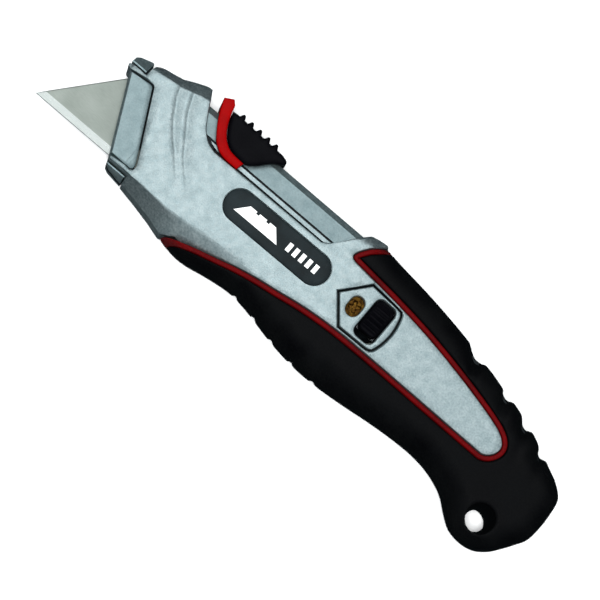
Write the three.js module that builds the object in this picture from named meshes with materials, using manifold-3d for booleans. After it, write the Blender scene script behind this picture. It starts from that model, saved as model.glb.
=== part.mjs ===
// Utility knife with a trapezoid blade, a thumb slider on the spine and a rubber-gripped handle.
// Drawn in millimetres with the knife on its edge plane: X runs from blade to heel, Y from belly to
// spine, and Z is the thickness, with Z = 0 on the plane where the two body halves meet.

import * as THREE from "three";
import { mergeVertices } from "three/addons/utils/BufferGeometryUtils.js";
import Module from "manifold-3d";

const wasm = await Module();
wasm.setup();

// Driving dimensions.
const BLADE_LENGTH = 61;
const BLADE_WIDTH = 19;
const BLADE_THICKNESS = 0.6;
const BLADE_TIP_X = -88.4;
const BLADE_EDGE_Y = -3.8;
const BLADE_SLANT = 15.8; // each end slants back by this much from the edge to the back
const BLADE_BEVEL = 2.1; // height of the ground strip along the cutting edge
const BLADE_NOTCH = { offset: 4.8, width: 2.4, depth: 2.6 };
const CHEEK_Z = 10.4; // half thickness of the metal body from TAPER_END_X back
const TAPER_END_X = 8;
const TAPER = 0.0037; // share of CHEEK_Z lost per millimetre towards the nose
const METAL_CHAMFER = { width: 3.4, height: 4.6 };
const GRIP_Z = 10.1;
const GRIP_ROUND = { width: 5.4, height: 6.2 };
const CORE_Z = 7.4; // the metal that the rubber is moulded over
const CORE_INSET = 2.6;
const LINER_WIDTH = 1.25;
const SEAM = 0.12; // clearance between pieces that sit against each other
const RAIL_HALF_WIDTH = 4.8;
const RAIL_TOP_Y = 23.2;
const RAIL_CHAMFER = { width: 1.3, height: 1.8 };
const RAIL_WALL = 1.4;
const RAIL_FOOT_Y = 12.8;
const RAIL_FRONT = -54;
const RAIL_LENGTH = 56;
const LEDGE = { top: 15.8, z: 6.2 }; // the step under the slider's skirts
const ARM_TOP_Y = 17.75; // of the metal above the nose window
const SLIDER_HALF_WIDTH = 8.2;
const SPARE_BLADES = 5;
const SPARE_PITCH = 0.64;
const SPARE_BOTTOM_Z = -1.6;
const MAGAZINE_X = 12;
const MAGAZINE_Y = -8;
const SCREW = { x: 12, y: 6.4, head: 2.95, shank: 1.5 };
const DOWEL = { r: 1.2, halfLength: 3.4, places: [[-3.5, -8.3], [77, 2]] };
const LANYARD = { x: 72.5, y: -14.6, r: 3.9 };
const BADGE = { x: -15.2, y: 7.1, length: 34.4, height: 9.2 };
const LOCK_SLOT = { x0: 15.4, x1: 21.7, y0: 0.7, y1: 12.6 };
const LOCK_TRAVEL = 2;
const CARRIAGE_FORWARD = 2.5;
const CARRIAGE_BACK = 27;
const CARRIER = { front: -54, rear: -20.5 };
const FAR = 200; // past the knife on every side

// Materials, one per finish.
function finish(color, roughness, metalness) {
  return new THREE.MeshStandardMaterial({ color, roughness, metalness });
}
const silverPaint = finish(0xb7c2c4, 0.45, 0.6);
const greyMetal = finish(0x8c9a9b, 0.45, 0.7);
const blackRubber = finish(0x101214, 0.8, 0);
const redRubber = finish(0xa01010, 0.55, 0);
const blackPlastic = finish(0x0c0d10, 0.5, 0);
const bladeSteel = finish(0xaab2aa, 0.3, 0.9);
const springSteel = finish(0x8a8d90, 0.35, 0.9);
const brass = finish(0x8c6e1e, 0.4, 0.9);
const darkPlate = finish(0x2d373a, 0.5, 0.2);

// Solids from three.js geometry.

function solid(geometry) {
  const bare = geometry.index ? geometry.toNonIndexed() : geometry.clone();
  const points = new THREE.BufferGeometry().setAttribute("position", bare.getAttribute("position"));
  const merged = mergeVertices(points, 1e-4);
  return new wasm.Manifold(
    new wasm.Mesh({
      numProp: 3,
      vertProperties: merged.attributes.position.array,
      triVerts: new Uint32Array(merged.index.array),
    }),
  );
}

function geometryOf(manifold) {
  const mesh = manifold.getMesh();
  const geometry = new THREE.BufferGeometry();
  geometry.setAttribute("position", new THREE.BufferAttribute(new Float32Array(mesh.vertProperties), 3));
  geometry.setIndex(new THREE.BufferAttribute(new Uint32Array(mesh.triVerts), 1));
  return geometry;
}

function outline(points) {
  const vectors = points.map(([x, y]) => new THREE.Vector2(x, y));
  return new THREE.Shape(THREE.ShapeUtils.isClockWise(vectors) ? vectors.reverse() : vectors);
}

// A flat plate of the given outline between two heights.
function plate(points, z0, z1) {
  const geometry = new THREE.ExtrudeGeometry(outline(points), { depth: z1 - z0, bevelEnabled: false });
  return solid(geometry.translate(0, 0, z0));
}

// A plate from Z = 0 whose upper rim is rounded off by a bevel that stays inside the outline.
function rimmedPlate(points, top, rim, segments) {
  const geometry = new THREE.ExtrudeGeometry(outline(points), {
    depth: 2 * (top - rim.height),
    bevelEnabled: true,
    bevelSize: rim.width,
    bevelOffset: -rim.width,
    bevelThickness: rim.height,
    bevelSegments: segments,
  });
  geometry.translate(0, 0, rim.height - top);
  return solid(geometry).intersect(box(-FAR, FAR, -FAR, FAR, 0, FAR));
}

function box(x0, x1, y0, y1, z0, z1) {
  const geometry = new THREE.BoxGeometry(x1 - x0, y1 - y0, z1 - z0);
  return solid(geometry.translate((x0 + x1) / 2, (y0 + y1) / 2, (z0 + z1) / 2));
}

function post(x, y, r, z0, z1, sides = 32) {
  const geometry = new THREE.CylinderGeometry(r, r, z1 - z0, sides);
  return solid(geometry.rotateX(Math.PI / 2).translate(x, y, (z0 + z1) / 2));
}

function union(solids) {
  return solids.reduce((sum, each) => sum.add(each));
}

// Outlines.

// A smooth run of points through a few given ones.
function smooth(points, steps) {
  const curve = new THREE.SplineCurve(points.map(([x, y]) => new THREE.Vector2(x, y)));
  return curve.getPoints(steps).map((p) => [p.x, p.y]);
}

// The open line moved sideways, to its left for a positive distance, with its corners kept sharp.
function moved(points, distance) {
  const headings = points.slice(1).map(([x, y], i) => Math.atan2(y - points[i][1], x - points[i][0]));
  return points.map(([x, y], i) => {
    const before = headings[Math.max(i - 1, 0)];
    const after = headings[Math.min(i, headings.length - 1)];
    const halfTurn = Math.atan2(Math.sin(after - before), Math.cos(after - before)) / 2;
    const reach = distance / Math.max(Math.cos(halfTurn), 0.4);
    return [x - Math.sin(before + halfTurn) * reach, y + Math.cos(before + halfTurn) * reach];
  });
}

// A closed outline made smaller all round, or larger for a negative distance.
function inset(points, distance) {
  const isClockwise = THREE.ShapeUtils.isClockWise(points.map(([x, y]) => new THREE.Vector2(x, y)));
  const inner = moved([...points, points[0], points[1]], isClockwise ? -distance : distance);
  return [inner[points.length], ...inner.slice(1, points.length)];
}

// A rectangle with round corners.
function slot(x0, x1, y0, y1, r, steps = 6) {
  const corners = [[x1 - r, y1 - r, 0], [x0 + r, y1 - r, 1], [x0 + r, y0 + r, 2], [x1 - r, y0 + r, 3]];
  return corners.flatMap(([x, y, quarter]) =>
    Array.from({ length: steps + 1 }, (_, i) => {
      const angle = ((quarter + i / steps) * Math.PI) / 2;
      return [x + r * Math.cos(angle), y + r * Math.sin(angle)];
    }),
  );
}

// The belly line from the liner's front end to the heel.
const belly = smooth(
  [[-38.6, -11.8], [-36, -12.4], [-32, -12.9], [-28, -12.6], [-24, -11.8], [-19, -11], [-15, -10.7],
   [-10, -11.2], [-5, -12.2], [0, -13.3], [5, -14.1], [10, -14.6], [15, -14.7], [20, -14.5],
   [27, -13.8], [35, -12.8], [42, -12.2], [48, -12.05], [53, -12.5], [57, -13.5], [60.5, -14.9],
   [63, -16.5]], 34,
);

const heel = smooth(
  [[66, -19], [69, -20.8], [73, -21.5], [77, -20.9], [80.3, -18.6], [82.8, -15.4], [84.8, -12.3],
   [86.3, -9.5], [86.8, -5], [86.6, 0], [85.9, 3.4], [84, 5.6], [81.5, 7.3]], 24,
);

// The spine of the handle, drawn from heel to front.
const spine = smooth(
  [[78, 9], [72, 11.9], [64, 14.9], [56, 17.2], [50, 18.7], [42, 20.3], [35, 21.6], [25, 23.1],
   [15, 24.2], [9, 25]], 20,
);

const noseTop = [
  [-53.4, 26.8], [-54.6, 26.7], [-56.5, 26], [-59, 24.9], [-61, 23.9], [-64, 23.3], [-67, 22.7],
  [-68.6, 21.8],
];
const noseBottom = [[-55.3, -8.05], [-50, -9], [-44, -10.3]];

// The whole silhouette. Its front is drawn ahead of the nose, so the front edge stays square.
const silhouette = [
  [-78, -5.6], ...noseBottom, ...belly, ...heel, ...spine, [3, 24], [0, 25],
  [-30, 27], ...noseTop, [-78, 19],
];

// The line where the metal tongue ends, from the belly, round the tongue's tip, to the spine.
const tongueLine = [
  ...smooth(
    [[-45, -14.6], [-40.8, -12.4], [-36, -10.9], [-30, -9], [-24, -7.4], [-18, -5.8], [-12, -4.6],
     [-6, -3.7], [0, -2.7], [6, -2], [14, -1.5], [25, -1.4], [42, -1.5], [59, -1.6], [62.3, -1.4],
     [64.2, 0.1], [65, 2.2], [64.4, 4], [62.2, 5.7], [58, 7.2], [50, 9.2], [40, 11.3], [30, 13],
     [20, 14.2], [12, 14.9]], 72,
  ),
  ...smooth([[5, 15.5], [3.7, 15.8], [3.1, 16.7], [3.6, 18.2]], 5),
  ...smooth([[5.2, 20.6], [7.4, 22.9], [10.4, 26]], 4),
];

// Everything on the metal's side of the tongue line, moved outwards by a distance.
function tongueSide(distance) {
  return plate([...moved(tongueLine, -distance), [11, 60], [-120, 60], [-120, -60], [-43, -60]], -1, 40);
}

// The spine cut-out in which the thumb slider runs.
const cutOut = [
  [-53.5, 27], [-52, 24.2], [-50.5, 21.4], [-49, 19], [-47.8, 17.1], [-46.4, 15.7], [-44.4, 14.4],
  [-42, 13.7], [-5.6, 13.7], [-4.2, 14.5], [-3, 15.8], [0.5, 20.1], [3.4, 23.9], [6, 60], [-53.5, 60],
];

// The nose front line leans forward towards the spine.
const frontX = (y) => -64.92 - 0.505 * y;
const aheadOfNose = [
  [-120, -40], [frontX(-40), -40], [frontX(15.8), 15.8], [-74.1, 16.7], [-74.4, 17.4], [-74.1, 40],
  [-120, 40],
];
const windowOutline = [
  [frontX(16.4), 16.4], [frontX(-4.2), -4.2], [-56, -3.9], [-55.3, -3.2], [-55.4, -2.2], [-65.3, 16.3],
  [-66.2, 16.9],
];
const upperLug = [
  [-74.3, 18.45], [-74.2, 20.3], [-73.3, 21.2], [-69.9, 22.5], [-69.5, 22.2], [-69.5, 18.45],
];
const lowerLug = [[-62, -6.1], [-60.6, -7], [-55.8, -7.9], [-55.8, -6.1]];
const webOutline = [
  ...upperLug.slice(0, 3), [-67, 21.4], [-57.9, 20], [-57.9, -7.2], lowerLug[1], [frontX(-4.6), -4.6],
];
const lockPlateOutline = [
  [6.4, 6.6], [12.2, 13.6],
  ...smooth([[21, 13.1], [22.6, 12.4], [23.7, 8], [23.6, 4], [22.6, 0.5], [21, -0.2]], 10), [12.2, -0.4],
];

// The body thins towards the nose: heights are scaled down ahead of the taper's end.
function taper(part) {
  const geometry = geometryOf(part);
  const position = geometry.getAttribute("position");
  for (let i = 0; i < position.count; i += 1) {
    const ahead = Math.max(TAPER_END_X - position.getX(i), 0);
    position.setZ(i, position.getZ(i) * (1 - TAPER * ahead));
  }
  return solid(geometry);
}

function tapered(whole) {
  const front = whole.intersect(box(-FAR, TAPER_END_X, -FAR, FAR, -FAR, FAR));
  const rear = whole.intersect(box(TAPER_END_X, FAR, -FAR, FAR, -FAR, FAR));
  if (front.isEmpty()) return rear;
  if (rear.isEmpty()) return taper(front);
  return taper(front).add(rear);
}

const metalEnvelope = tapered(rimmedPlate(silhouette, CHEEK_Z, METAL_CHAMFER, 1));
const gripEnvelope = tapered(rimmedPlate(silhouette, GRIP_Z, GRIP_ROUND, 3));
const coreOutline = moved([...belly, ...heel, ...spine], CORE_INSET);
const coreSpace = (clearance) => tapered(plate(moved(coreOutline, -clearance), -1, CORE_Z + clearance));

// A trapezoid blade blank with its long cutting edge at the bottom, or the same grown all round.
function bladeOutline(x, y, grow = 0) {
  const top = y + BLADE_WIDTH + grow;
  const rear = x + BLADE_LENGTH;
  const [low, high] = [1.7 * grow, 0.5 * grow]; // how far the ends move out at the edge and at the back
  const edge = [[x - low, y - grow], [rear + low, y - grow]];
  return [...edge, [rear - BLADE_SLANT + high, top], [x + BLADE_SLANT - high, top]];
}

// Depths inside a body half, counted from the seam.
const POCKET_Z = 5.2; // the carriage and the slider's rail
const MAGAZINE_Z = 2.9;
const INSERT_Z = 3.5; // the nose insert's web
const BADGE_FLOOR_Z = 9.3;
const LOCK_FLOOR_Z = 9.1;
const SCREW_FLOOR_Z = 7.4;
const NUT_FLOOR_Z = 4.4;
const LANYARD_WALL = 1.6;

// The spaces that both body halves have.
function sharedCuts() {
  const carriageFront = CARRIER.front - CARRIAGE_FORWARD - 1.6;
  const carriageRear = CARRIER.rear + CARRIAGE_BACK + 3;
  return [
    box(carriageFront, carriageRear, -5, 15.6, -1, POCKET_Z),
    box(-54.4, 3, 11.9, 40, -1, POCKET_Z).subtract(box(-60, -54, 16.5, 21.9, -1, FAR)), // rail
    plate(bladeOutline(MAGAZINE_X, MAGAZINE_Y, 1.3), -1, MAGAZINE_Z),
    plate(windowOutline, -1, FAR),
    box(-80, -68.8, ARM_TOP_Y, 40, -1, FAR), // above the upper arm
    box(-80, -55.35, -40, -5.75, -1, FAR), // below the lower arm
    plate(webOutline, -1, INSERT_Z),
    plate(aheadOfNose, -1, FAR),
    tapered(plate(slot(...badgeBox(SEAM), BADGE.height / 2 + SEAM, 10), BADGE_FLOOR_Z, FAR)),
    post(LANYARD.x, LANYARD.y, LANYARD.r, -1, FAR),
    post(SCREW.x, SCREW.y, SCREW.shank + 0.2, -1, FAR),
    ...DOWEL.places.map(([x, y]) => post(x, y, DOWEL.r + 0.05, -1, DOWEL.halfLength + 0.2, 24)),
  ];
}

// The lock is fitted from the left side.
function lockCuts() {
  const { x0, x1, y0, y1 } = LOCK_SLOT;
  return [
    plate(inset(lockPlateOutline, -SEAM), LOCK_FLOOR_Z, FAR),
    post(SCREW.x, SCREW.y, SCREW.head + 0.2, SCREW_FLOOR_Z, FAR),
    box(x0, x1, y0, y1, -1, FAR), // button
    box(x0, x1, y0 - 0.3, 18.4, 0.5, 5.7), // bar
    box(-22, 52, 11.9, 15.4, -1, MAGAZINE_Z), // the carrier's tail
  ];
}

// One body half in its own frame, with Z pointing out of its cheek.
function bodyHalf(isLeft) {
  const metal = metalEnvelope.intersect(tongueSide(0)).subtract(plate(cutOut, -1, FAR));
  const core = tapered(plate(coreOutline, 0, CORE_Z));
  const ledge = box(-47.6, -3.2, 10, LEDGE.top, 0, LEDGE.z);
  const lanyardWall = post(LANYARD.x, LANYARD.y, LANYARD.r + LANYARD_WALL, 0, CORE_Z);
  const nutPocket = post(SCREW.x, SCREW.y, 2.75, NUT_FLOOR_Z, FAR);
  const cuts = [...sharedCuts(), ...(isLeft ? lockCuts() : [nutPocket])];
  return union([metal, core, ledge, lanyardWall]).subtract(union(cuts));
}

function badgeBox(grow) {
  const { x, y, length, height } = BADGE;
  return [x - length / 2 - grow, x + length / 2 + grow, y - height / 2 - grow, y + height / 2 + grow];
}

// Finger notches: round cuts of a given depth into the line at each place along it.
const SPINE_NOTCHES = { places: [45.8, 58.2, 66.9, 75], radius: 2.6, depth: 1.2 };
const BELLY_NOTCHES = { places: [-13.3, -6, 1.3, 9, 16.7], radius: 1.1, depth: 0.55 };

// The line's height at a place along the knife.
function heightAt(line, x) {
  const pieces = line.slice(1).map((end, i) => [line[i], end]);
  const [a, b] = pieces.find(([start, end]) => (start[0] - x) * (end[0] - x) <= 0);
  return a[1] + ((b[1] - a[1]) * (x - a[0])) / (b[0] - a[0]);
}

function notchCuts({ places, radius, depth }, line, outwards) {
  const rise = outwards * (radius - depth);
  return union(places.map((x) => post(x, heightAt(line, x) + rise, radius, -1, FAR, 20)));
}

function grip() {
  return gripEnvelope
    .subtract(notchCuts(SPINE_NOTCHES, spine, 1))
    .subtract(notchCuts(BELLY_NOTCHES, belly, -1))
    .subtract(tongueSide(LINER_WIDTH + 2 * SEAM))
    .subtract(coreSpace(SEAM))
    .subtract(post(LANYARD.x, LANYARD.y, LANYARD.r + LANYARD_WALL + SEAM, -1, CORE_Z + SEAM))
    .subtract(post(LANYARD.x, LANYARD.y, LANYARD.r, -1, FAR));
}

function gripLiner() {
  const strip = gripEnvelope.intersect(tongueSide(LINER_WIDTH + SEAM));
  return strip.subtract(tongueSide(SEAM)).subtract(coreSpace(SEAM));
}

// The blade guide that shows through the nose window and ends in a lug above and below.
function noseInsert() {
  const gap = 0.25;
  const beside = BLADE_THICKNESS / 2 + 0.2; // clear of the blade
  const webTop = INSERT_Z - 0.2;
  const windowPlate = plate(inset(windowOutline, gap), webTop - 0.1, 6.6);
  const web = plate(inset(webOutline, gap), beside, webTop);
  const lugs = [upperLug, lowerLug].map((lug) => plate(lug, beside, 5.4));
  return union([windowPlate, web, ...lugs]);
}

function badge() {
  return tapered(plate(slot(...badgeBox(0), BADGE.height / 2, 10), 9.45, CHEEK_Z + 0.05));
}

// Running parts.

// A channel section with its open side down, slotted along the top for the slider's stem.
function sliderRail() {
  const w = RAIL_HALF_WIDTH;
  const shoulder = RAIL_TOP_Y - RAIL_CHAMFER.height;
  const flat = w - RAIL_CHAMFER.width;
  const top = [[-w, shoulder], [-flat, RAIL_TOP_Y], [flat, RAIL_TOP_Y], [w, shoulder]];
  const section = [[-w, RAIL_FOOT_Y], ...top, [w, RAIL_FOOT_Y]];
  const geometry = new THREE.ExtrudeGeometry(outline(section), { depth: RAIL_LENGTH, bevelEnabled: false });
  const bar = solid(geometry.rotateY(Math.PI / 2).translate(RAIL_FRONT, 0, 0));
  const channel = box(-60, 10, 0, RAIL_TOP_Y - 2.6, RAIL_WALL - w, w - RAIL_WALL);
  const stemSlot = box(-49.5, -1.2, 10, 30, -1.7, 1.7);
  const frontSlant = plate([[-56, 17], [-53.2, 17], [-56, 24]], -9, 9);
  return bar.subtract(union([channel, stemSlot, frontSlant]));
}

// A blade whose cutting edge starts at (x, y) and whose middle plane is at height z.
function blade(x, y, z) {
  const blank = plate(bladeOutline(x, y), -BLADE_THICKNESS / 2, BLADE_THICKNESS / 2);
  const top = y + BLADE_WIDTH;
  const notches = [-1, 1].map((side) => {
    const middle = x + BLADE_LENGTH / 2 + side * BLADE_NOTCH.offset;
    const half = BLADE_NOTCH.width / 2;
    return box(middle - half, middle + half, top - BLADE_NOTCH.depth, top + 1, -9, 9);
  });
  return blank.subtract(union([...notches, bevelCut(x, y, 1), bevelCut(x, y, -1)])).translate([0, 0, z]);
}

// The wedge ground off one side of the cutting edge.
function bevelCut(x, y, side) {
  const t = BLADE_THICKNESS / 2;
  const edge = 0.06; // half the thickness left at the very edge
  const section = [[edge, -0.5], [edge, 0], [t, BLADE_BEVEL], [3 * t, BLADE_BEVEL], [3 * t, -0.5]];
  const shape = outline(section.map(([z, dy]) => [-z * side, dy]));
  const geometry = new THREE.ExtrudeGeometry(shape, { depth: BLADE_LENGTH + 9, bevelEnabled: false });
  return solid(geometry.rotateY(Math.PI / 2).translate(x - 4, y, 0));
}

// The sliding frame under the blade, with a tail that the lock bar drops into.
function bladeCarrier() {
  const { front, rear } = CARRIER;
  const step = -26.9; // behind the blade the carrier is full height
  const base = box(front, rear, -3.2, 12, -3, -0.5);
  const rearBlock = box(step, rear, -3.2, 12, -3, 3);
  const tailRoot = box(step, rear, 11.5, 15, -3, 2.6);
  const tail = box(-24, 23.5, 12.2, 15, 0.8, 2.6);
  const stem = box(-43, -35, 11, 24.5, -1.4, -0.5);
  const lugX = BLADE_TIP_X + BLADE_LENGTH / 2 + BLADE_NOTCH.offset;
  const lug = box(lugX - 1, lugX + 1, BLADE_EDGE_Y + BLADE_WIDTH - 2.3, 14.8, -3, 0.9);
  const lugRoot = box(lugX - 1, lugX + 1, 11, 14.8, -3, -0.5);
  // One notch for the cutting position and one for the blade drawn in.
  const lockNotches = [[15.5, 22], [-11.5, -7.5]].map(([x0, x1]) => box(x0, x1, 12.9, 16, 0, 4));
  const whole = union([base, rearBlock, tailRoot, tail, stem, lug, lugRoot]);
  return whole.subtract(union([...lockNotches, sliderPinHole()]));
}

// A bent strip on the carrier that holds the slide at each stop.
function detentSpring() {
  const foot = box(-53, -49, -2.5, 2.5, -3.5, -3.1);
  const leaf = box(-49, -38, -1.5, 1.5, -3.5, -3.1);
  const nose = box(-38, -36.5, -1.5, 1.5, -4.6, -3.1);
  return union([foot, leaf, nose]);
}

// The cross pin that joins the saddle to the carrier's stem.
const SLIDER_PIN = { x: -39, y: 24.1, r: 0.5, halfLength: 5 };

function sliderPinHole() {
  const { x, y, r, halfLength } = SLIDER_PIN;
  return post(x, y, r + 0.08, -halfLength - 0.1, halfLength + 0.1, 12);
}

function sliderPin() {
  const { x, y, r, halfLength } = SLIDER_PIN;
  return post(x, y, r, -halfLength, halfLength, 12);
}

// The saddle that straddles the rail: a ribbed top and a skirt on each side.
const SLIDER_RIBS = [-42.4, -39.5, -36.6, -33.7, -30.9];
const sliderSide = [
  [-45.7, 26.6], [-44.9, 24], [-43.7, 21.3], [-42, 18.9], [-39.9, 17.4], [-38, 16.8], [-34.2, 16.6],
  [-31.6, 18.2], [-29.7, 20.4], [-28, 22], [-26.3, 23], [-25.9, 23.9], [-27.4, 25.2], [-45, 25.6],
];
const trimSide = [
  [-49.6, 26.6], [-48.4, 23.6], [-46.9, 20.7], [-44.9, 17.8], [-43.3, 16], [-41, 14.6], [-38.5, 14.1],
  [-34.9, 14.1], [-34.4, 16.4], [-38, 16.6], [-40.1, 17.2], [-42.2, 18.8], [-43.9, 21.2],
  [-45.1, 23.9], [-46, 26.8], [-47.2, 28],
];

function saddle(side) {
  const rail = box(-60, 10, 0, RAIL_TOP_Y + 0.3, -RAIL_HALF_WIDTH - 1.5, RAIL_HALF_WIDTH + 1.5);
  return plate(side, -SLIDER_HALF_WIDTH, SLIDER_HALF_WIDTH).subtract(rail);
}

function thumbSlider() {
  const reach = SLIDER_HALF_WIDTH - 0.6;
  const ribs = SLIDER_RIBS.map((x) => box(x - 0.65, x + 0.65, 24.6, 26.6, -reach, reach));
  const stemPocket = box(-43.2, -34.8, 20, 24.6, -1.6, -0.3);
  return saddle(sliderSide).add(union(ribs)).subtract(stemPocket).subtract(sliderPinHole());
}

// Lock.

function lockPlate() {
  const { x0, x1, y0, y1 } = LOCK_SLOT;
  const screwWindow = slot(SCREW.x - 1.95, SCREW.x + 1.95, SCREW.y - 2.9, SCREW.y + 2.9, 1.9);
  return plate(lockPlateOutline, LOCK_FLOOR_Z + 0.2, CHEEK_Z + 0.1)
    .subtract(plate(screwWindow, 0, 20))
    .subtract(plate(slot(x0, x1, y0, y1, 1.8), 0, 20));
}

// The button sits at the top of its slot and is pushed down by the travel.
function lockButton() {
  const gap = 0.25;
  const { x0, x1, y1 } = LOCK_SLOT;
  const y0 = LOCK_SLOT.y0 + LOCK_TRAVEL + gap;
  const cap = plate(slot(x0 + gap, x1 - gap, y0, y1 - gap, 1.6), 5.9, 10);
  const ribs = Array.from({ length: 6 }, (_, i) => {
    const foot = y0 + 1.1 + 1.4 * i;
    return box(x0 + 0.5, x1 - 0.5, foot, foot + 0.65, 9.5, CHEEK_Z);
  });
  return union([cap, ...ribs]);
}

function lockBar() {
  const bar = box(15.7, 21.4, 3.2, 18.1, 4.2, 5.5);
  const tooth = box(16, 19, 15.4, 18.1, 0.8, 4.6);
  return union([bar, tooth]);
}

// Fasteners.

const HEAD_TOP_Z = 9.1;

function mainScrew() {
  const head = post(SCREW.x, SCREW.y, SCREW.head, SCREW_FLOOR_Z + 0.1, HEAD_TOP_Z);
  const shank = post(SCREW.x, SCREW.y, SCREW.shank, -8, 8);
  const recess = [0, Math.PI / 2].map((turn) =>
    solid(new THREE.BoxGeometry(3.2, 0.8, 1).rotateZ(turn).translate(SCREW.x, SCREW.y, HEAD_TOP_Z)),
  );
  return head.add(shank).subtract(union(recess));
}

function mainNut() {
  const sleeve = post(SCREW.x, SCREW.y, 2.6, -9.6, -NUT_FLOOR_Z - 0.1);
  return sleeve.subtract(post(SCREW.x, SCREW.y, SCREW.shank + 0.05, -20, 0));
}

function dowel([x, y]) {
  return post(x, y, DOWEL.r, -DOWEL.halfLength, DOWEL.halfLength, 24);
}

// Spare blades, their tray and the strip spring that presses on the stack.

function magazineTray() {
  const outer = plate(bladeOutline(MAGAZINE_X, MAGAZINE_Y, 1.1), -2.7, 1.2);
  return outer.subtract(plate(bladeOutline(MAGAZINE_X, MAGAZINE_Y, 0.3), -2, 5));
}

function magazineSpring() {
  const foot = box(30, 55, -5, 3, 1.45, 1.8);
  const arm = box(38, 47, -2, 8, 1.45, 1.8);
  return foot.add(arm);
}

const knife = new THREE.Group();

function add(name, part, material, isRight = false) {
  const mesh = new THREE.Mesh(geometryOf(part), material);
  mesh.name = name;
  if (isRight) mesh.scale.z = -1;
  knife.add(mesh);
}

add("left_shell", bodyHalf(true), silverPaint);
add("right_shell", bodyHalf(false), silverPaint, true);
add("left_grip", grip(), blackRubber);
add("right_grip", grip(), blackRubber, true);
add("left_grip_liner", gripLiner(), redRubber);
add("right_grip_liner", gripLiner(), redRubber, true);
add("left_nose_insert", noseInsert(), greyMetal);
add("right_nose_insert", noseInsert(), greyMetal, true);
add("left_badge", badge(), darkPlate);
add("right_badge", badge(), darkPlate, true);
add("lock_plate", lockPlate(), silverPaint);
add("lock_button", lockButton(), blackPlastic);
add("lock_bar", lockBar(), springSteel);
add("main_screw", mainScrew(), brass);
add("main_nut", mainNut(), brass);
add("front_dowel", dowel(DOWEL.places[0]), springSteel);
add("rear_dowel", dowel(DOWEL.places[1]), springSteel);
add("slider_rail", sliderRail(), greyMetal);
add("thumb_slider", thumbSlider(), blackPlastic);
add("slider_trim", saddle(trimSide), redRubber);
add("slider_pin", sliderPin(), springSteel);
add("blade_carrier", bladeCarrier(), blackPlastic);
add("detent_spring", detentSpring(), springSteel);
add("blade", blade(BLADE_TIP_X, BLADE_EDGE_Y, 0), bladeSteel);
add("magazine_tray", magazineTray(), blackPlastic);
add("magazine_spring", magazineSpring(), springSteel);
for (let i = 0; i < SPARE_BLADES; i += 1) {
  add(`spare_blade_${i + 1}`, blade(MAGAZINE_X, MAGAZINE_Y, SPARE_BOTTOM_Z + i * SPARE_PITCH), bladeSteel);
}

// The origin is under the middle of the whole knife as it lies on its right cheek.
const extent = new THREE.Box3().setFromObject(knife);
const middle = extent.getCenter(new THREE.Vector3());
knife.position.set(-middle.x, -middle.y, -extent.min.z);
const root = new THREE.Group();
root.add(knife);

export default root;
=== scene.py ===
import math
import bpy
import numpy as np
from mathutils import Matrix, Vector
from mathutils.geometry import delaunay_2d_cdt


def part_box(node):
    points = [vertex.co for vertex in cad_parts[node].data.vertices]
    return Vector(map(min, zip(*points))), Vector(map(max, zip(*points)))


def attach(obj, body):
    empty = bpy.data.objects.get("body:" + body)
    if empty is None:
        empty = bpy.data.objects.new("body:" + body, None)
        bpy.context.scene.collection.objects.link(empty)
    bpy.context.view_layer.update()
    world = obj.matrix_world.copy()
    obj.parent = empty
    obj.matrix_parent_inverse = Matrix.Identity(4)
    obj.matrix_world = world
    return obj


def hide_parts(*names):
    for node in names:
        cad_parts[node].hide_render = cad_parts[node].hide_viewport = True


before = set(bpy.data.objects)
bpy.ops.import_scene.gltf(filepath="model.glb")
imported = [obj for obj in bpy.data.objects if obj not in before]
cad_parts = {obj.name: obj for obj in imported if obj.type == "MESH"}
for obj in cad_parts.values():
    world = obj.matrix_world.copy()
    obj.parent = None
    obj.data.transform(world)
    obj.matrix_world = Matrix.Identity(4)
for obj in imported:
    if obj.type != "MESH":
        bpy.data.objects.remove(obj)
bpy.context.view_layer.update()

# ---------------------------------------------------------------------------------------------
# Body halves. Two hollow aluminium die-castings in light blue-grey hammered paint, mirror images of
# each other, that meet on the seam plane. The nose is chamfered and fluted, the rear half is a
# core for the rubber, and a flat tongue stays bare between the two arms of the grip.

MM = 0.001
blade_low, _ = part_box("blade")
seam_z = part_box("left_shell")[0][2]
# The knife is drawn in millimetres from its own centre: X to the heel, Y to the spine, Z out of the seam.
ORIGIN = Vector((blade_low[0] + 88.4 * MM, blade_low[1] + 3.8 * MM, seam_z))
CHEEK = 10.4
CORE = 6.2
TAPER_END = 8.0
TAPER = 0.0037


def smooth(points, step):
    """A Catmull-Rom run through the points, with a point about every step."""
    p = np.array(points, float)
    p = np.vstack([2 * p[0] - p[1], p, 2 * p[-1] - p[-2]])
    run = []
    for a, b, c, d in zip(p, p[1:], p[2:], p[3:]):
        count = max(2, int(np.ceil(np.linalg.norm(c - b) / step)))
        for t in np.arange(count) / count:
            run.append(0.5 * (2 * b + (c - a) * t + (2 * a - 5 * b + 4 * c - d) * t**2
                              + (3 * b - a - 3 * c + d) * t**3))
    return np.array(run + [p[-2]])


def straight(points, step):
    """The same corners with extra points between them."""
    p = np.array(points, float)
    run = []
    for a, b in zip(p, p[1:]):
        count = max(1, int(np.ceil(np.linalg.norm(b - a) / step)))
        run += [a + (b - a) * t for t in np.arange(count) / count]
    return np.array(run + [p[-1]])


def moved(line, distance, closed=False):
    """The line shifted sideways, to its left for a positive distance."""
    p = np.array(line, float)
    if closed:
        p = np.vstack([p[-1], p, p[0]])
    heading = np.arctan2(np.diff(p[:, 1]), np.diff(p[:, 0]))
    before = np.concatenate([heading[:1], heading])
    after = np.concatenate([heading, heading[-1:]])
    half = np.arctan2(np.sin(after - before), np.cos(after - before)) / 2
    reach = distance / np.maximum(np.cos(half), 0.4)
    out = p + np.column_stack([-np.sin(before + half), np.cos(before + half)]) * reach[:, None]
    return out[1:-1] if closed else out


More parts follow.
